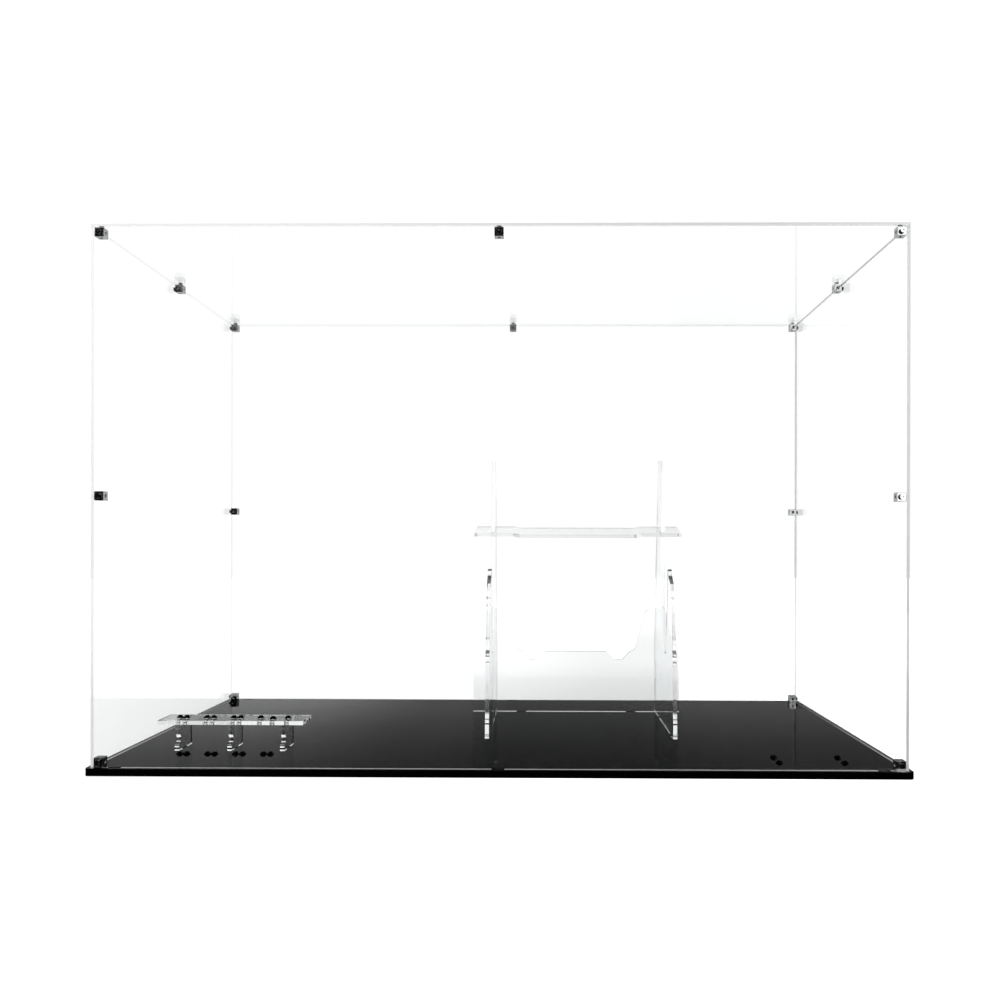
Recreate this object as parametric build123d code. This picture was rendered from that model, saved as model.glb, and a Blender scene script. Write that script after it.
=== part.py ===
from build123d import *
import math
import os

os.makedirs("parts", exist_ok=True)

# A display case: a glossy black base, a clear cover of five panels joined by
# cube connectors, a clear interlocking stand for a model, a clear figure shelf,
# and black studs that figures plug on to.
# Millimetres. +Z is up, -Y is the front. The origin is the bottom centre of the base.

# Cover: five clear panels. The top lies on the walls, the sides fit between front and back,
# and a hairline is left where two panels meet and where a cube meets a panel.
COVER_W = 877.0
COVER_D = 420.0
COVER_H = 584.0
PANEL_T = 3.0
HAIRLINE = 0.05

# Base: two sheets, with a margin around the cover.
BASE_MARGIN = 4.0
BASE_CORNER_R = 5.0
LOWER_T = 5.0
UPPER_T = 3.0

# Tabs that stand on the floor of slots in the upper sheet of the base, so that the
# lower edges of the clear sheets stay a hair above the base.
TAB_PLAY = 0.2
SEAT_GAP = 0.05
COVER_TAB_W = 14.0
COVER_TAB_X = (-412.0, 0.0, 412.0)

# Cube connectors and their M3 screws.
CUBE = 10.0
CUBE_EDGE = 0.3
TAPPED_R = 1.5
SCREW_R = 1.45
SCREW_L = 6.0
SCREW_TIP = 0.65
SCREW_HEAD_R = 2.9
SCREW_HEAD_RIM = 0.2
CLEARANCE_R = 1.7
SINK_PLAY = 0.1
SOCKET_ACROSS = 2.0
SOCKET_DEPTH = 1.2

# Figure studs, on the 8 mm pitch of toy bricks. A flange lies on the sheet and carries
# the stud, and a short pin goes down into a hole.
STUD_PITCH = 8.0
STUD_R = 2.4
STUD_H = 1.7
STUD_EDGE = 0.2
FLANGE_R = 3.9
FLANGE_H = 1.0
FLANGE_EDGE = 0.15
PIN_R = 2.95
PIN_L = 1.8
PIN_EDGE = 0.2
PIN_HOLE_R = 3.0
FRONT_PAIR_X = (-364.0, -332.0, -300.0, -268.0)
FRONT_PAIR_Y = -146.0
PLINTH_X = (309.0, 381.0)
PLINTH_Y = (-176.0, -152.0)

# Figure shelf: a clear plate cemented to three legs.
SHEET_T = 5.0
CEMENT_T = 0.05
SHELF_X0 = -401.0
SHELF_W = 170.0
SHELF_FRONT = -130.0
SHELF_REAR = -94.0
SHELF_TOP = 35.0
SHELF_LEG_X = {"left": 23.0, "middle": 84.5, "right": 146.0}
SHELF_PAIR_X = (23.0, 55.0, 87.0)
SHELF_SINGLES = ((115.0, 0.0), (131.0, -5.0), (147.0, 0.0))
LEG_REACH = 37.0
LEG_NECK = 35.5
LEG_TOE_H = 7.0
LEG_BITE_H = 19.0
LEG_BITE_DEPTH = 6.0
LEG_TAB_W = 14.0

# Model stand: two side plates, a cradle plate across them and a tilted bar behind.
STAND_X = 95.0
SIDE_OFFSET = 116.7
SIDE_REAR = 130.0
SIDE_TAB_Y = (-35.0, 78.0)
STAND_TAB_W = 14.0
JOINT_PLAY = 0.1
CRADLE_Y = 119.5
CRADLE_HALF_W = 148.8
CRADLE_LAP_H = 73.5
CRADLE_TAB_X = 79.0
BAR_ANGLE = 11.1
BAR_FRONT = (53.0, 254.5)
BAR_DEPTH = 53.0
BAR_W = 285.0
BAR_STEP = 10.0
BAR_STEP_X = 80.0
BAR_CHAMFER = 8.0
BAR_LAP = 27.0

# Worked out from the driving dimensions.
BASE_W = COVER_W + 2 * BASE_MARGIN
BASE_D = COVER_D + 2 * BASE_MARGIN
BASE_TOP = LOWER_T + UPPER_T
SEAT = BASE_TOP + SEAT_GAP
TAB_SPAN = (LOWER_T, SEAT)
WALL_TOP = BASE_TOP + COVER_H - PANEL_T - HAIRLINE
SHELF_MID_Y = (SHELF_FRONT + SHELF_REAR) / 2
CUBE_INSET = PANEL_T + HAIRLINE + CUBE / 2
CUBE_X = COVER_W / 2 - CUBE_INSET
CUBE_Y = COVER_D / 2 - CUBE_INSET
CUBE_LEVELS = {
    "bottom": SEAT + CUBE / 2,
    "middle": BASE_TOP + COVER_H / 2,
    "top": BASE_TOP + COVER_H - CUBE_INSET,
}
NORMALS = {
    "front": Vector(0, -1, 0),
    "back": Vector(0, 1, 0),
    "left": Vector(-1, 0, 0),
    "right": Vector(1, 0, 0),
    "top": Vector(0, 0, 1),
}


def slab(x, y, z):
    """A box that fills three (low, high) spans."""
    size = (x[1] - x[0], y[1] - y[0], z[1] - z[0])
    return Pos(sum(x) / 2, sum(y) / 2, sum(z) / 2) * Box(*size)


def span(middle, width):
    """The (low, high) span of a width about its middle."""
    return (middle - width / 2, middle + width / 2)


def sheet_yz(outline, x, thickness=SHEET_T):
    """A sheet whose outline of (y, height above its seat) stands across X."""
    plane = Plane(origin=(x - thickness / 2, 0, SEAT), x_dir=(0, 1, 0), z_dir=(1, 0, 0))
    return extrude(plane * make_face(outline), thickness)


def sheet_xz(outline, x, y, thickness=SHEET_T):
    """A sheet whose outline of (x, height above its seat) stands across Y."""
    plane = Plane(origin=(x, y + thickness / 2, SEAT), x_dir=(1, 0, 0), z_dir=(0, -1, 0))
    return extrude(plane * make_face(outline), thickness)


def rounded(corners):
    """A closed outline from (point, corner radius) pairs."""
    points = [point for point, radius in corners]
    radii = [radius for point, radius in corners]
    return FilletPolyline(*points, radius=radii, close=True).edges()


def save(name, *solids):
    """Write one node, as one solid or as a group of separate solids."""
    shape = solids[0] if len(solids) == 1 else Compound(children=list(solids))
    export_step(shape, f"parts/{name}.step")


# ---------------------------------------------------------------- connectors


def cube_places():
    """The name and centre of each cube connector, in the corners and mid-edges."""
    places = {}
    for depth_name, depth in (("front", -CUBE_Y), ("back", CUBE_Y)):
        for side_name, side in (("left", -CUBE_X), ("right", CUBE_X)):
            for level_name, level in CUBE_LEVELS.items():
                name = f"cube_{depth_name}_{side_name}_{level_name}"
                places[name] = Vector(side, depth, level)
        places[f"cube_{depth_name}_top_centre"] = Vector(0, depth, CUBE_LEVELS["top"])
    for side_name, side in (("left", -CUBE_X), ("right", CUBE_X)):
        places[f"cube_{side_name}_top_centre"] = Vector(side, 0, CUBE_LEVELS["top"])
    return places


CUBES = cube_places()


def screw_points(panel):
    """Where the screws of a panel enter it, on its outer face."""
    normal = NORMALS[panel]
    reach = max(centre.dot(normal) for centre in CUBES.values())
    held = [centre for centre in CUBES.values() if abs(centre.dot(normal) - reach) < 0.01]
    return [centre + normal * CUBE_INSET for centre in held]


def cube_connector(centre):
    """A metal cube with a tapped hole through each pair of faces."""
    cube = chamfer(Box(CUBE, CUBE, CUBE).edges(), CUBE_EDGE)
    hole = Cylinder(TAPPED_R, CUBE)
    mouth_depth = 2 * CUBE_EDGE
    mouth = Pos(0, 0, CUBE / 2 - mouth_depth / 2)
    mouth *= Cone(TAPPED_R, TAPPED_R + mouth_depth, mouth_depth)
    for turn in (Rot(0, 0, 0), Rot(90, 0, 0), Rot(0, 90, 0)):
        cube -= turn * hole
        cube -= turn * mouth
        cube -= turn * Rot(180, 0, 0) * mouth
    return Pos(centre) * cube


def screw(point, normal):
    """A countersunk hex-socket screw whose head is flush at a point of the outer face."""
    cone_h = SCREW_HEAD_R - SCREW_R
    rim = Pos(0, 0, -SCREW_HEAD_RIM / 2) * Cylinder(SCREW_HEAD_R, SCREW_HEAD_RIM)
    cone = Pos(0, 0, -SCREW_HEAD_RIM - cone_h / 2) * Cone(SCREW_R, SCREW_HEAD_R, cone_h)
    shank = Pos(0, 0, -SCREW_L / 2) * Cylinder(SCREW_R, SCREW_L)
    shank = chamfer(shank.edges().sort_by(Axis.Z)[0], SCREW_TIP)
    socket = RegularPolygon(SOCKET_ACROSS / 2, 6, major_radius=False)
    socket = extrude(Pos(0, 0, -SOCKET_DEPTH) * socket, SOCKET_DEPTH)
    return Plane(origin=point, z_dir=normal) * (rim + cone + shank - socket)


def screw_hole(point, normal):
    """The clearance hole and countersink that a screw needs in a panel."""
    sink_r = SCREW_HEAD_R + SINK_PLAY
    cone_h = sink_r - CLEARANCE_R
    rim = Pos(0, 0, -SCREW_HEAD_RIM / 2) * Cylinder(sink_r, SCREW_HEAD_RIM)
    cone = Pos(0, 0, -SCREW_HEAD_RIM - cone_h / 2) * Cone(CLEARANCE_R, sink_r, cone_h)
    hole = Pos(0, 0, -PANEL_T / 2) * Cylinder(CLEARANCE_R, PANEL_T)
    return Plane(origin=point, z_dir=normal) * (rim + cone + hole)


# --------------------------------------------------------------------- cover


def panel_blank(panel):
    """A cover panel without its screw holes, front and back with their tabs."""
    wide = span(0, COVER_W)
    deep = span(0, COVER_D)
    walls = (SEAT, WALL_TOP)
    if panel == "top":
        return slab(wide, deep, (BASE_TOP + COVER_H - PANEL_T, BASE_TOP + COVER_H))
    if panel in ("left", "right"):
        middle = NORMALS[panel].X * (COVER_W - PANEL_T) / 2
        return slab(span(middle, PANEL_T), span(0, COVER_D - 2 * PANEL_T - 2 * HAIRLINE), walls)
    across = span(NORMALS[panel].Y * (COVER_D - PANEL_T) / 2, PANEL_T)
    blank = slab(wide, across, walls)
    for x in COVER_TAB_X:
        blank += slab(span(x, COVER_TAB_W), across, TAB_SPAN)
    return blank


def cover_panel(panel):
    """A cover panel, drilled and countersunk for its screws."""
    blank = panel_blank(panel)
    for point in screw_points(panel):
        blank -= screw_hole(point, NORMALS[panel])
    return blank


# ------------------------------------------------------------- studs and base


def stud(x, y, seat_top):
    """A stud on its flange, with the pin that goes into the sheet at seat_top."""
    pin = Pos(0, 0, -PIN_L / 2) * Cylinder(PIN_R, PIN_L)
    pin = chamfer(pin.edges().sort_by(Axis.Z)[0], PIN_EDGE)
    flange = Pos(0, 0, FLANGE_H / 2) * Cylinder(FLANGE_R, FLANGE_H)
    flange = chamfer(flange.edges().sort_by(Axis.Z)[-1], FLANGE_EDGE)
    post = Pos(0, 0, FLANGE_H + STUD_H / 2) * Cylinder(STUD_R, STUD_H)
    post = fillet(post.edges().sort_by(Axis.Z)[-1], STUD_EDGE)
    return Pos(x, y, seat_top) * (pin + flange + post)


def stud_pair(x, y, seat_top):
    """Two studs a pitch apart, for the two legs of one figure."""
    return [stud(x + side * STUD_PITCH / 2, y, seat_top) for side in (-1, 1)]


def base_stud_places():
    """The centre of every stud in the base."""
    pairs = [(x + side * STUD_PITCH / 2, FRONT_PAIR_Y) for x in FRONT_PAIR_X for side in (-1, 1)]
    return pairs + [(x, y) for x in PLINTH_X for y in PLINTH_Y]


def shelf_leg_places():
    """The middle of each shelf leg along X."""
    return {name: SHELF_X0 + offset for name, offset in SHELF_LEG_X.items()}


def base_slots():
    """The slots in the upper sheet: for the cover, the stand and the shelf legs."""
    depth = (LOWER_T, BASE_TOP)
    slots = []
    for side in (-1, 1):
        across = span(side * (COVER_D - PANEL_T) / 2, PANEL_T + 2 * TAB_PLAY)
        slots += [slab(span(x, COVER_TAB_W + 2 * TAB_PLAY), across, depth) for x in COVER_TAB_X]
        along = span(STAND_X + side * CRADLE_TAB_X, STAND_TAB_W + 2 * TAB_PLAY)
        slots.append(slab(along, span(CRADLE_Y, SHEET_T + 2 * TAB_PLAY), depth))
        across = span(STAND_X + side * SIDE_OFFSET, SHEET_T + 2 * TAB_PLAY)
        slots += [slab(across, span(y, STAND_TAB_W + 2 * TAB_PLAY), depth) for y in SIDE_TAB_Y]
    for x in shelf_leg_places().values():
        middle = SHELF_REAR - LEG_REACH / 2
        along = span(middle, LEG_TAB_W + 2 * TAB_PLAY)
        slots.append(slab(span(x, SHEET_T + 2 * TAB_PLAY), along, depth))
    return slots


def base_sheet(bottom, thickness):
    """One rounded sheet of the base."""
    outline = RectangleRounded(BASE_W, BASE_D, BASE_CORNER_R)
    return extrude(Pos(0, 0, bottom) * outline, thickness)


def upper_sheet():
    """The upper sheet of the base, with its slots and stud holes."""
    sheet = base_sheet(LOWER_T, UPPER_T)
    for x, y in base_stud_places():
        sheet -= Pos(x, y, LOWER_T + UPPER_T / 2) * Cylinder(PIN_HOLE_R, UPPER_T)
    for slot in base_slots():
        sheet -= slot
    return sheet


# --------------------------------------------------------------------- shelf


def shelf_stud_places():
    """The centre of every stud in the shelf."""
    pairs = [(SHELF_X0 + x + side * STUD_PITCH / 2, SHELF_MID_Y) for x in SHELF_PAIR_X for side in (-1, 1)]
    return pairs + [(SHELF_X0 + x, SHELF_MID_Y + ahead) for x, ahead in SHELF_SINGLES]


def shelf_plate():
    """The top of the shelf, with its stud holes."""
    top = BASE_TOP + SHELF_TOP
    plate = slab((SHELF_X0, SHELF_X0 + SHELF_W), (SHELF_FRONT, SHELF_REAR), (top - SHEET_T, top))
    for x, y in shelf_stud_places():
        plate -= Pos(x, y, top - SHEET_T / 2) * Cylinder(PIN_HOLE_R, SHEET_T)
    return plate


def leg_outline():
    """A shelf leg from the side: a straight back, a toe, and a bite above the toe."""
    height = BASE_TOP + SHELF_TOP - SHEET_T - CEMENT_T - SEAT
    tab_end = LOWER_T - SEAT
    toe = SHELF_REAR - LEG_REACH
    neck = SHELF_REAR - LEG_NECK
    tab = span(SHELF_REAR - LEG_REACH / 2, LEG_TAB_W)
    bite_low = (toe, LEG_TOE_H)
    bite_deep = (toe + LEG_BITE_DEPTH, (LEG_TOE_H + LEG_BITE_H) / 2)
    bite_high = (neck, LEG_BITE_H)
    around = Polyline(
        bite_low,
        (toe, 0),
        (tab[0], 0),
        (tab[0], tab_end),
        (tab[1], tab_end),
        (tab[1], 0),
        (SHELF_REAR, 0),
        (SHELF_REAR, height),
        (neck, height),
        bite_high,
    )
    bite = ThreePointArc(bite_low, bite_deep, bite_high)
    return around.edges() + bite.edges()


# --------------------------------------------------------------------- stand


def side_outline():
    """A side plate of the stand: a foot, a leaning front arm, a notch and a tall post."""
    front_arm = [
        ((-62.0, 0.0), 1.0),
        ((-62.0, 4.0), 0.6),
        ((-60.6, 5.4), 0.6),
        ((-60.8, 21.0), 0.6),
        ((-59.0, 23.0), 0.6),
        ((-55.0, 60.0), 8.0),
        ((-54.5, 93.0), 1.0),
        ((-52.5, 96.0), 1.0),
        ((-53.5, 104.0), 1.0),
        ((-49.0, 108.5), 1.0),
        ((-50.5, 114.0), 1.0),
        ((-51.5, 121.0), 4.0),
        ((-41.5, 155.0), 8.0),
        ((-41.0, 172.0), 1.0),
        ((-38.0, 175.0), 1.0),
        ((-39.5, 182.0), 1.5),
        ((-32.0, 191.0), 2.0),
        ((-13.5, 201.5), 4.0),
        ((-10.0, 210.5), 2.0),
        ((-5.0, 206.0), 2.0),
    ]
    notch = [
        ((4.0, 130.0), 4.0),
        ((9.0, 97.5), 1.5),
        ((20.5, 97.5), 1.5),
        ((43.0, 154.5), 2.0),
        ((46.5, 156.5), 1.0),
    ]
    post = [
        ((56.5, 262.0), 20.0),
        ((69.0, 358.5), 2.0),
        ((89.0, 358.5), 2.0),
        ((SIDE_REAR, 100.0), 20.0),
        ((SIDE_REAR, 0.0), 1.0),
    ]
    return rounded(front_arm + notch + post)


def bar_plane():
    """The tilted bar's own plane: X across the case, Y up the slope, Z its thickness."""
    slope = math.radians(BAR_ANGLE)
    origin = (STAND_X, BAR_FRONT[0], SEAT + BAR_FRONT[1])
    return Plane(origin=origin, x_dir=(1, 0, 0), z_dir=(0, -math.sin(slope), math.cos(slope)))


def bar_notch(x):
    """The space that the tilted bar takes out of the front edge of a post."""
    width = SHEET_T + 2 * JOINT_PLAY
    ahead = 3 * BAR_LAP
    cutter = slab(span(0, 2 * width), (-ahead, BAR_LAP), span(0, width))
    return bar_plane() * Pos(x - STAND_X, 0, 0) * cutter


def side_plate(x):
    """A side plate with its tabs, slotted from below for the cradle and notched for the bar."""
    plate = sheet_yz(side_outline(), x)
    for y in SIDE_TAB_Y:
        plate += slab(span(x, SHEET_T), span(y, STAND_TAB_W), TAB_SPAN)
    lap = (SEAT, SEAT + CRADLE_LAP_H)
    plate -= slab(span(x, 2 * SHEET_T), span(CRADLE_Y, SHEET_T + 2 * JOINT_PLAY), lap)
    return plate - bar_notch(x)


def cradle_outline():
    """The cradle plate from the front: a low saddle with two notches between two horns."""
    half = [
        ((44.9, 87.1), 2.0),
        ((56.3, 75.8), 2.0),
        ((66.9, 75.8), 2.0),
        ((76.8, 86.5), 3.0),
        ((85.0, 91.0), 3.0),
        ((98.8, 143.0), 4.0),
        ((102.7, 148.5), 3.0),
        ((126.0, 148.5), 3.0),
        ((130.0, 144.0), 3.0),
        ((147.2, 94.0), 4.0),
        ((CRADLE_HALF_W, 86.0), 4.0),
        ((CRADLE_HALF_W, 0.0), 1.0),
    ]
    mirrored = [((-x, height), radius) for (x, height), radius in reversed(half)]
    return rounded(half + mirrored)


def cradle_plate():
    """The cradle plate with its two tabs, slotted from above for the side plates."""
    plate = sheet_xz(cradle_outline(), STAND_X, CRADLE_Y)
    for side in (-1, 1):
        tab_x = span(STAND_X + side * CRADLE_TAB_X, STAND_TAB_W)
        plate += slab(tab_x, span(CRADLE_Y, SHEET_T), TAB_SPAN)
        slot_x = span(STAND_X + side * SIDE_OFFSET, SHEET_T + 2 * JOINT_PLAY)
        above = (SEAT + CRADLE_LAP_H, WALL_TOP)
        plate -= slab(slot_x, span(CRADLE_Y, 2 * SHEET_T), above)
    return plate


def tilt_bar():
    """The tilted bar: its middle steps forward, and it is slotted from behind."""
    end = BAR_W / 2
    step = BAR_STEP_X
    slant = BAR_STEP_X + BAR_CHAMFER
    half = [
        ((step, -BAR_STEP), 1.5),
        ((slant, 0.0), 1.5),
        ((end, 0.0), 1.5),
        ((end, BAR_DEPTH), 1.5),
        ((slant, BAR_DEPTH), 1.5),
        ((step, BAR_DEPTH - BAR_STEP), 1.5),
    ]
    mirrored = [((-x, y), radius) for (x, y), radius in reversed(half)]
    bar = extrude(make_face(rounded(half + mirrored)), SHEET_T / 2, both=True)
    slot_w = SHEET_T + 2 * JOINT_PLAY
    for side in (-1, 1):
        bar -= slab(span(side * SIDE_OFFSET, slot_w), (BAR_LAP, BAR_DEPTH), span(0, 2 * SHEET_T))
    return bar_plane() * bar


# ------------------------------------------------------------- write the nodes

save("base_lower_plate", base_sheet(0, LOWER_T))
save("base_upper_plate", upper_sheet())

for number, x in enumerate(FRONT_PAIR_X, start=1):
    save(f"front_figure_studs_{number}", *stud_pair(x, FRONT_PAIR_Y, BASE_TOP))
for name, x in zip(("left", "right"), PLINTH_X):
    save(f"plinth_studs_{name}", *[stud(x, y, BASE_TOP) for y in PLINTH_Y])

for name in NORMALS:
    save(f"{name}_panel", cover_panel(name))
    save(f"{name}_screws", *[screw(point, NORMALS[name]) for point in screw_points(name)])
for name, centre in CUBES.items():
    save(name, cube_connector(centre))

save("stand_left_plate", side_plate(STAND_X - SIDE_OFFSET))
save("stand_right_plate", side_plate(STAND_X + SIDE_OFFSET))
save("stand_cradle_plate", cradle_plate())
save("stand_tilt_bar", tilt_bar())

save("shelf_plate", shelf_plate())
for name, x in shelf_leg_places().items():
    save(f"shelf_leg_{name}", sheet_yz(leg_outline(), x))
for number, x in enumerate(SHELF_PAIR_X, start=1):
    save(f"shelf_figure_studs_{number}", *stud_pair(SHELF_X0 + x, SHELF_MID_Y, BASE_TOP + SHELF_TOP))
for number, (x, ahead) in enumerate(SHELF_SINGLES, start=1):
    single = stud(SHELF_X0 + x, SHELF_MID_Y + ahead, BASE_TOP + SHELF_TOP)
    save(f"shelf_single_stud_{number}", single)
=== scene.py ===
"""A clear display case on a glossy black base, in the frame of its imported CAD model.

Metres. +Z is up and -Y is the front. The origin is the bottom centre of the base.
Every visible piece is a CAD node with a procedural material; the floor, the canopy and the
card are stage pieces. Brightness is given with 1 as white.
"""
import math

import bpy
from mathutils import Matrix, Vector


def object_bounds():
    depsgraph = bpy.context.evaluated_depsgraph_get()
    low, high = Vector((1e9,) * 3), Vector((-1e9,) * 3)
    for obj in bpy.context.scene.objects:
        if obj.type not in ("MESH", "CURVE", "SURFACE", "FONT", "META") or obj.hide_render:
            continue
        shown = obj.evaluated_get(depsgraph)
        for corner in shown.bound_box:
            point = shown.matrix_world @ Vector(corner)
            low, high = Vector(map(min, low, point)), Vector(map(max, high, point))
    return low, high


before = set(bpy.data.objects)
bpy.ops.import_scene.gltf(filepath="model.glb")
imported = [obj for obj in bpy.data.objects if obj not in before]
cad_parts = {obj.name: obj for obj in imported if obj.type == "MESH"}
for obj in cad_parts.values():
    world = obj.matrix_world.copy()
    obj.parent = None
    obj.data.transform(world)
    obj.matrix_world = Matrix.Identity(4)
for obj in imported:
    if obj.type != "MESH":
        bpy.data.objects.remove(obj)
cad_low, cad_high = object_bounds()

ACRYLIC_IOR = 1.49
STUD_IOR = 1.05
# The thin direction of each clear sheet.
SHEET_AXES = {
    "front_panel": "Y",
    "back_panel": "Y",
    "left_panel": "X",
    "right_panel": "X",
    "top_panel": "Z",
    "stand_left_plate": "X",
    "stand_right_plate": "X",
    "stand_cradle_plate": "Y",
    "stand_tilt_bar": "Z",
    "shelf_plate": "Z",
    "shelf_leg_left": "X",
    "shelf_leg_middle": "X",
    "shelf_leg_right": "X",
}

# The stretch of the case, along x, over which painted shade makes the cover's cut edges change their
# tone.
EDGE_SHADE_SPAN = (-0.35, 0.35)
# Paleness of the cut edges at the left and right ends, by the panel's thin direction: painted shade,
# pale at the left and darker at the right.
EDGE_PAINTED_SHADE = {"X": (0.98, 0.69), "Y": (0.84, 0.7), "Z": (0.7, 0.5)}
# Share of light that leaves a panel through a cut edge, in the same way: painted shade, less towards
# the right.
INNER_EDGE_PAINTED_SHADE = {"X": (0.88, 0.5), "Y": (0.85, 0.7), "Z": (0.85, 0.8)}

# Tint of the clear sheets that bend light, upright and lying flat; the flat value also holds painted
# shade that makes those pieces darker.
UPRIGHT_TINT = 0.985
FLAT_TINT_AND_SHADE = 0.88
# Height of the waves in thick and thin sheet, and of the marks on cut edges.
THICK_WAVE = 0.0003
THIN_WAVE = 0.00006
CUT_MARK = 0.0000015
# The share that an acrylic face mirrors when it is looked at squarely.
SQUARE_MIRROR = 0.039

# Base colours.
BLACK = 0.0004
DUST = 0.006
STUD_BLACK = 0.001
CUBE_COLOUR = (0.36, 0.36, 0.365)
STEEL_COLOUR = (0.4, 0.4, 0.41)

# Brightness of the surroundings: straight behind, in mirrors, and for light that is bent
# away from the four main level directions.
BACKGROUND = 1.2
ROOM = 1.1
LOW_SIDES = 0.12
CAMERA_SIDE = 0.008
BENT_AWAY = 0.02
# Brightness of the floor's dark strip and of the white card, and the colour that the floor
# has for light that falls on it.
FLOOR_STRIP = 0.006
CARD_WHITE = 3.3
FLOOR_COLOUR = 0.18

# Places of the stage pieces.
FLOOR_HALF = 6.0
FLOOR_GAP = 0.0005
CANOPY_REACH = 3.0
CANOPY_GAP = 0.1
CANOPY_Z = 0.18
CARD_Y = -1.2
CARD_X = (0.45, 1.3)
CARD_Z = (0.1, 1.3)

# The eye and its lens.
EYE = (0.0501, -1.1308, 0.2452)
EYE_DEGREES = (90.0, -0.11, 0.548)
LENS_MM = 31.06
SENSOR_MM = 36.0
SHIFT = (-0.0369, 0.0475)


# ------------------------------------------------------------------ node helpers


class Nodes:
    """Builds one node tree. add returns the node it makes, most others what that gives out."""

    def __init__(self, tree):
        self.tree = tree
        self.tree.nodes.clear()

    def add(self, kind, inputs=None, **settings):
        node = self.tree.nodes.new(kind)
        for key, value in settings.items():
            setattr(node, key, value)
        for key, value in (inputs or {}).items():
            self.feed(node.inputs[key], value)
        return node

    def feed(self, socket, value):
        """Links an output to a socket, or sets the socket to a constant."""
        if isinstance(value, bpy.types.NodeSocket):
            self.tree.links.new(value, socket)
        else:
            socket.default_value = value

    def math(self, operation, a, b=0.0):
        return self.add("ShaderNodeMath", {0: a, 1: b}, operation=operation).outputs[0]

    def ramp(self, value, low, high, to_low=0.0, to_high=1.0):
        """Maps value from low..high to to_low..to_high, smoothly and clamped."""
        node = self.add("ShaderNodeMapRange", interpolation_type="SMOOTHSTEP")
        for key, number in zip(("Value", "From Min", "From Max", "To Min", "To Max"),
                               (value, low, high, to_low, to_high)):
            self.feed(node.inputs[key], number)
        return node.outputs[0]

    def fade(self, value, low, high):
        """1 below low and 0 above high."""
        return self.ramp(value, low, high, 1.0, 0.0)

    def mix(self, share, a, b):
        """A number between a and b."""
        return self.add("ShaderNodeMix", {0: share, 2: a, 3: b}).outputs[0]

    def noise(self, scale, detail, vector):
        inputs = {"Scale": scale, "Detail": detail, "Vector": vector}
        return self.add("ShaderNodeTexNoise", inputs).outputs[0]

    def bump(self, height, strength=1.0, distance=1.0):
        inputs = {"Strength": strength, "Distance": distance, "Height": height}
        return self.add("ShaderNodeBump", inputs).outputs[0]

    def grey(self, level):
        """A colour with the same level in each channel."""
        return self.add("ShaderNodeCombineXYZ", {0: level, 1: level, 2: level}).outputs[0]

    def split(self, vector):
        """The x, y and z of a vector."""
        return self.add("ShaderNodeSeparateXYZ", {0: vector}).outputs

    def shader(self, kind, inputs=None):
        return self.add(kind, inputs).outputs[0]

    def blend(self, share, a, b):
        """A shader between a and b."""
        return self.shader("ShaderNodeMixShader", {0: share, 1: a, 2: b})

    def light_path(self):
        return self.add("ShaderNodeLightPath").outputs

    def geometry(self):
        return self.add("ShaderNodeNewGeometry").outputs

    def place(self):
        """Where a point lies on its own object, in metres."""
        return self.add("ShaderNodeTexCoord").outputs["Object"]

    def surface(self, shader):
        self.add("ShaderNodeOutputMaterial", {0: shader})


def material(name):
    """A new material and the builder of its nodes."""
    mat = bpy.data.materials.new(name)
    mat.use_nodes = True
    return mat, Nodes(mat.node_tree)


# --------------------------------------------------------------------- materials


def sheet_marks(n, axis, wave_height):
    """The place, how much it lies on a sheet's broad faces, and the bump of faces and edges."""
    at = n.place()
    facing = n.split(n.geometry()["True Normal"])[axis]
    on_face = n.ramp(n.math("ABSOLUTE", facing), 0.6, 0.9)
    wave = n.math("MULTIPLY", n.noise(6.0, 1.0, at), wave_height)
    cut = n.math("MULTIPLY", n.noise(700.0, 1.0, at), CUT_MARK)
    return at, on_face, n.bump(n.mix(on_face, cut, wave))


def passing_mirror_ray(n, path, backfacing):
    """1 where a ray that was mirrored elsewhere enters or leaves a clear sheet.

    Such a ray goes straight through, so that it still counts as a mirrored one. A ray that
    refracted into the sheet has passed an even number of see-through faces when it turns.
    """
    odd = n.math("MODULO", path["Transparent Depth"], 2.0)
    outside = n.math("SUBTRACT", 1.0, backfacing)
    return n.math("MULTIPLY", path["Is Reflection Ray"], n.math("MAXIMUM", outside, odd))


def clear_sheet(axis):
    """Clear cast sheet, 5 mm, that bends light: polished faces and laser-cut edges.

    The flat-lying pieces are seen along their length, and painted shade in their tint makes them a
    little darker.
    """
    mat, n = material(f"clear_sheet_{axis.lower()}")
    # painted shade: the flat-lying sheets get a darker tint than the upright ones
    tint_and_shade = FLAT_TINT_AND_SHADE if axis == "Z" else UPRIGHT_TINT
    at, on_face, bump = sheet_marks(n, axis, THICK_WAVE)
    smudge = n.ramp(n.noise(14.0, 4.0, at), 0.55, 0.8)
    glass = n.shader("ShaderNodeBsdfPrincipled", {
        "Base Color": (tint_and_shade, tint_and_shade + 0.004, tint_and_shade + 0.006, 1.0),
        "Roughness": n.mix(on_face, 0.02, n.math("MULTIPLY", smudge, 0.006)),
        "IOR": ACRYLIC_IOR,
        "Transmission Weight": 1.0,
        "Normal": bump,
    })
    path = n.light_path()
    mirrored = passing_mirror_ray(n, path, n.geometry()["Backfacing"])
    straight = n.math("MAXIMUM", path["Is Shadow Ray"], mirrored)
    clear = n.shader("ShaderNodeBsdfTransparent", {0: (0.93, 0.94, 0.94, 1.0)})
    n.surface(n.blend(straight, glass, clear))
    return mat


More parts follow.
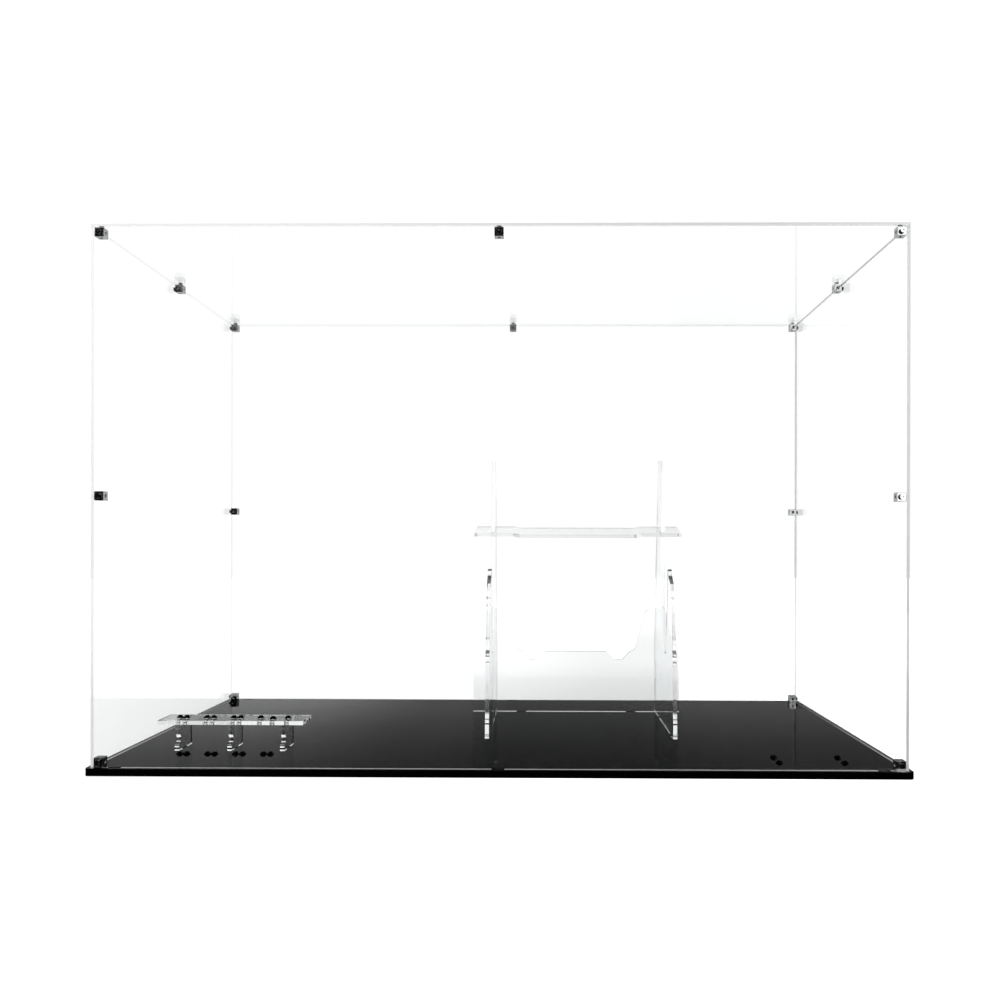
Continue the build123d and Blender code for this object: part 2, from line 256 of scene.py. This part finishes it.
def pane_face(n, bump):
    """A see-through face that mirrors more the more slantwise it is looked at."""
    slant = n.add("ShaderNodeLayerWeight", {"Blend": 0.5, "Normal": bump}).outputs["Facing"]
    gain = n.math("MULTIPLY", n.math("POWER", slant, 5.0), 1.0 - SQUARE_MIRROR)
    mirror = n.math("ADD", gain, SQUARE_MIRROR)
    clear = n.shader("ShaderNodeBsdfTransparent", {0: (0.996, 0.998, 0.998, 1.0)})
    white = {"Color": (1, 1, 1, 1), "Roughness": 0.0, "Normal": bump}
    return n.blend(mirror, clear, n.shader("ShaderNodeBsdfGlossy", white))


def pane_edge(n, axis, at, bump):
    """A satin cut edge with painted shade that darkens it from left to right, dim from inside the
    panel, where the lower edge mirrors softly.
    """
    x = n.split(at)["X"]
    satin = n.shader("ShaderNodeBsdfPrincipled", {
        # painted shade: the edge's colour goes from pale at the left to darker at the right
        "Base Color": n.grey(n.ramp(x, *EDGE_SHADE_SPAN, *EDGE_PAINTED_SHADE[axis])),
        "Roughness": n.ramp(n.noise(90.0, 3.0, at), 0.3, 0.7, 0.28, 0.4),
        "IOR": ACRYLIC_IOR,
        "Normal": bump,
    })
    # painted shade: less light passes out through the edge towards the right
    inner_painted_shade = n.grey(n.ramp(x, *EDGE_SHADE_SPAN, *INNER_EDGE_PAINTED_SHADE[axis]))
    dim = n.shader("ShaderNodeBsdfTransparent", {0: inner_painted_shade})
    soft = n.shader("ShaderNodeBsdfGlossy", {"Color": (0.6, 0.61, 0.61, 1), "Roughness": 0.35})
    geometry = n.geometry()
    lower_edge = n.ramp(n.split(geometry["True Normal"])["Z"], 0.5, 0.9)
    return n.blend(geometry["Backfacing"], satin, n.blend(lower_edge, dim, soft))


def cover_pane(axis):
    """Clear cover panel, 3 mm, whose edges turn darker from the left end to the right by painted
    shade.
    """
    mat, n = material(f"cover_pane_{axis.lower()}")
    at, on_face, bump = sheet_marks(n, axis, THIN_WAVE)
    n.surface(n.blend(on_face, pane_edge(n, axis, at, bump), pane_face(n, bump)))
    return mat


def black_acrylic():
    """Glossy black sheet with a little dust and faint wiping marks."""
    mat, n = material("black_acrylic")
    at = n.place()
    dust = n.ramp(n.noise(1400.0, 2.0, at), 0.72, 0.78)
    n.surface(n.shader("ShaderNodeBsdfPrincipled", {
        "Base Color": n.grey(n.mix(dust, BLACK, DUST)),
        "Roughness": n.ramp(n.noise(9.0, 5.0, at), 0.3, 0.8, 0.02, 0.07),
        "IOR": ACRYLIC_IOR,
        "Normal": n.bump(n.math("MULTIPLY", n.noise(5.0, 1.0, at), THICK_WAVE)),
    }))
    return mat


def metal(name, colour, rough, grain):
    """Polished metal with fine machining marks."""
    mat, n = material(name)
    marks = n.noise(grain, 3.0, n.place())
    n.surface(n.shader("ShaderNodeBsdfPrincipled", {
        "Base Color": (*colour, 1.0),
        "Metallic": 1.0,
        "Roughness": n.ramp(marks, 0.3, 0.7, rough * 0.7, rough * 1.3),
        "Normal": n.bump(marks, strength=0.15, distance=0.0002),
    }))
    return mat


def stud_plastic():
    """Matte black moulded stud."""
    mat, n = material("stud_black")
    at = n.place()
    n.surface(n.shader("ShaderNodeBsdfPrincipled", {
        "Base Color": (STUD_BLACK, STUD_BLACK, STUD_BLACK, 1.0),
        "Roughness": n.ramp(n.noise(700.0, 2.0, at), 0.3, 0.7, 0.5, 0.65),
        "IOR": STUD_IOR,
        "Normal": n.bump(n.noise(1500.0, 2.0, at), strength=0.1, distance=0.0002),
    }))
    return mat


def dress(node, mat):
    """Gives a CAD node one material in all its slots."""
    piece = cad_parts[node]
    if not piece.material_slots:
        piece.data.materials.append(mat)
    for slot in piece.material_slots:
        slot.material = mat


def dress_all():
    """Chooses each CAD node's material by its name."""
    sheet = {axis: clear_sheet(axis) for axis in "XYZ"}
    pane = {axis: cover_pane(axis) for axis in "XYZ"}
    black = black_acrylic()
    cube_metal = metal("cube_metal", CUBE_COLOUR, 0.05, 600.0)
    screw_steel = metal("screw_steel", STEEL_COLOUR, 0.09, 1500.0)
    stud_black = stud_plastic()
    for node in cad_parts:
        if node.endswith("_panel"):
            dress(node, pane[SHEET_AXES[node]])
        elif node in SHEET_AXES:
            dress(node, sheet[SHEET_AXES[node]])
        elif node.startswith("base_"):
            dress(node, black)
        elif node.startswith("cube_"):
            dress(node, cube_metal)
        elif node.endswith("_screws"):
            dress(node, screw_steel)
        else:
            dress(node, stud_black)


# -------------------------------------------------------------- floor, light, view


def studio_world():
    """White behind the case for what is seen straight, and a studio for what is mirrored.

    Light that left a clear sheet sees white only near the four main level directions, and
    a dark room between and above them. Mirrors see a bright room that is dark on the
    camera's side and grey low down at both sides.
    """
    world = bpy.data.worlds.new("studio")
    bpy.context.scene.world = world
    world.cycles.sampling_method = "NONE"
    world.use_nodes = True
    n = Nodes(world.node_tree)
    path = n.light_path()
    x, y, z = n.split(n.add("ShaderNodeTexCoord").outputs["Generated"])
    aside = n.math("ABSOLUTE", x)

    low_down = n.math("MULTIPLY", n.ramp(z, 0.02, 0.08), n.fade(z, 0.26, 0.33))
    low_sides = n.math("MULTIPLY", low_down, n.ramp(aside, 0.6, 0.7))
    camera_side = n.math("MULTIPLY", n.fade(y, -0.75, -0.55), n.fade(z, 0.7, 0.85))
    mirrored = n.mix(camera_side, n.mix(low_sides, ROOM, LOW_SIDES), CAMERA_SIDE)

    along_main = n.math("MAXIMUM", aside, n.math("ABSOLUTE", y))
    seen = n.ramp(along_main, 0.7, 0.85, BENT_AWAY, 1.0)
    left_lighter = n.ramp(x, -0.1, 0.2, 1.24, 1.04)
    below_darker = n.ramp(z, -0.2, -0.08, 0.88, 1.0)
    bent = n.math("MULTIPLY", seen, n.math("MULTIPLY", left_lighter, below_darker))

    level = n.mix(path["Is Transmission Ray"], BACKGROUND, bent)
    level = n.mix(path["Is Reflection Ray"], level, mirrored)
    level = n.mix(path["Is Diffuse Ray"], level, n.ramp(x, -1.0, 1.0, 2.4, 1.25))
    background = {"Color": (1, 1, 1, 1), "Strength": level}
    n.add("ShaderNodeOutputWorld", {0: n.shader("ShaderNodeBackground", background)})


def card(name, corners, mat):
    """A flat stage piece with four corners."""
    mesh = bpy.data.meshes.new(name)
    mesh.from_pydata(corners, [], [(0, 1, 2, 3)])
    mesh.materials.append(mat)
    piece = bpy.data.objects.new(name, mesh)
    bpy.context.scene.collection.objects.link(piece)
    return piece


def mirrored_card(name, corners, mat):
    """A card that only mirrors see, as if it stood outside the picture."""
    piece = card(name, corners, mat)
    piece.visible_camera = False
    piece.visible_diffuse = False
    piece.visible_transmission = False
    piece.visible_shadow = False


def white_floor():
    """The floor: pure white to the eye, toned where it is seen bent.

    Mirrored or bent light finds a dark strip of it just in front of the case.
    """
    mat, n = material("floor_white")
    path = n.light_path()
    x, y = n.split(n.place())[0:2]
    in_front = n.math("MULTIPLY", n.fade(y, -0.2, -0.05), n.ramp(y, -1.2, -0.9))
    strip = n.math("MULTIPLY", in_front, n.fade(n.math("ABSOLUTE", x), 0.6, 1.0))
    mirrored = n.mix(strip, 1.0, FLOOR_STRIP)

    open_floor = n.math("MAXIMUM", n.math("SUBTRACT", 1.0, strip), n.ramp(y, -0.45, -0.25))
    behind_lighter = n.ramp(y, 0.25, 0.7, 0.92, 1.1)
    left_lighter = n.ramp(x, -0.05, 0.2, 1.15, 1.0)
    bent = n.math("MULTIPLY", n.math("MULTIPLY", behind_lighter, left_lighter), open_floor)

    plain = n.math("MAXIMUM", n.ramp(x, -0.4, 0.3, 0.86, 1.5), n.ramp(y, 0.1, 0.35, 0.8, 0.9))
    level = n.mix(path["Is Transmission Ray"], mirrored, bent)
    level = n.mix(path["Is Camera Ray"], level, plain)
    glow = n.shader("ShaderNodeEmission", {"Strength": level})
    own = n.grey(n.math("MULTIPLY", path["Is Camera Ray"], FLOOR_COLOUR))
    paint = n.shader("ShaderNodeBsdfDiffuse", {0: own})
    n.surface(n.shader("ShaderNodeAddShader", {0: glow, 1: paint}))
    half, z = FLOOR_HALF, cad_low[2] - FLOOR_GAP
    card("floor", [(-half, -half, z), (half, -half, z), (half, half, z), (-half, half, z)], mat)


def canopy():
    """A dim canopy behind the case that shows only from below, so only the base mirrors it.

    It is lighter away from the case and towards both of its ends, most of all at the left.
    """
    mat, n = material("canopy_dim")
    x, y = n.split(n.place())[0:2]
    level = n.ramp(y, 0.4, 1.35, 0.065, 0.17)
    right_end = n.ramp(x, 0.2, 0.5, 1.0, 1.3)
    left_half = n.fade(x, -0.2, 0.0)
    left_end = n.fade(x, -0.7, -0.2)
    lift = n.math("ADD", right_end, n.math("MULTIPLY", left_half, 0.35))
    lift = n.math("ADD", lift, n.math("MULTIPLY", left_end, 2.1))
    glow = n.shader("ShaderNodeEmission", {"Strength": n.math("MULTIPLY", level, lift)})
    from_above = n.geometry()["Backfacing"]
    n.surface(n.blend(from_above, glow, n.shader("ShaderNodeBsdfTransparent")))
    reach, near, z = CANOPY_REACH, cad_high[1] + CANOPY_GAP, CANOPY_Z
    corners = [(-reach, near, z), (-reach, reach, z), (reach, reach, z), (reach, near, z)]
    mirrored_card("canopy", corners, mat)


def bright_card():
    """A soft white card beside the camera, at its right, which the right-hand cubes mirror.

    The panels' perfect mirrors leave it out.
    """
    mat, n = material("card_white")
    x = n.split(n.place())["X"]
    blurred = n.math("SUBTRACT", 1.0, n.light_path()["Is Singular Ray"])
    level = n.math("MULTIPLY", n.ramp(x, 0.45, 0.8, 0.0, CARD_WHITE), blurred)
    n.surface(n.shader("ShaderNodeEmission", {"Strength": level}))
    left, right = CARD_X
    low, high = CARD_Z
    corners = [(left, CARD_Y, low), (right, CARD_Y, low), (right, CARD_Y, high), (left, CARD_Y, high)]
    mirrored_card("bright_card", corners, mat)


def camera():
    """The eye in front of the case, a little right of its middle and level."""
    data = bpy.data.cameras.new("camera")
    data.lens = LENS_MM
    data.sensor_width = SENSOR_MM
    data.shift_x, data.shift_y = SHIFT
    data.clip_start = 0.01
    eye = bpy.data.objects.new("camera", data)
    eye.location = EYE
    eye.rotation_euler = [math.radians(angle) for angle in EYE_DEGREES]
    bpy.context.scene.collection.objects.link(eye)
    bpy.context.scene.camera = eye


def light_travel():
    """Plain colours, and enough bounces for light to cross all the clear sheets."""
    scene = bpy.context.scene
    scene.view_settings.view_transform = "Standard"
    scene.cycles.max_bounces = 24
    scene.cycles.transmission_bounces = 24
    scene.cycles.glossy_bounces = 12
    scene.cycles.transparent_max_bounces = 40
    scene.cycles.caustics_reflective = False
    scene.cycles.caustics_refractive = False


dress_all()
studio_world()
white_floor()
canopy()
bright_card()
camera()
light_travel()
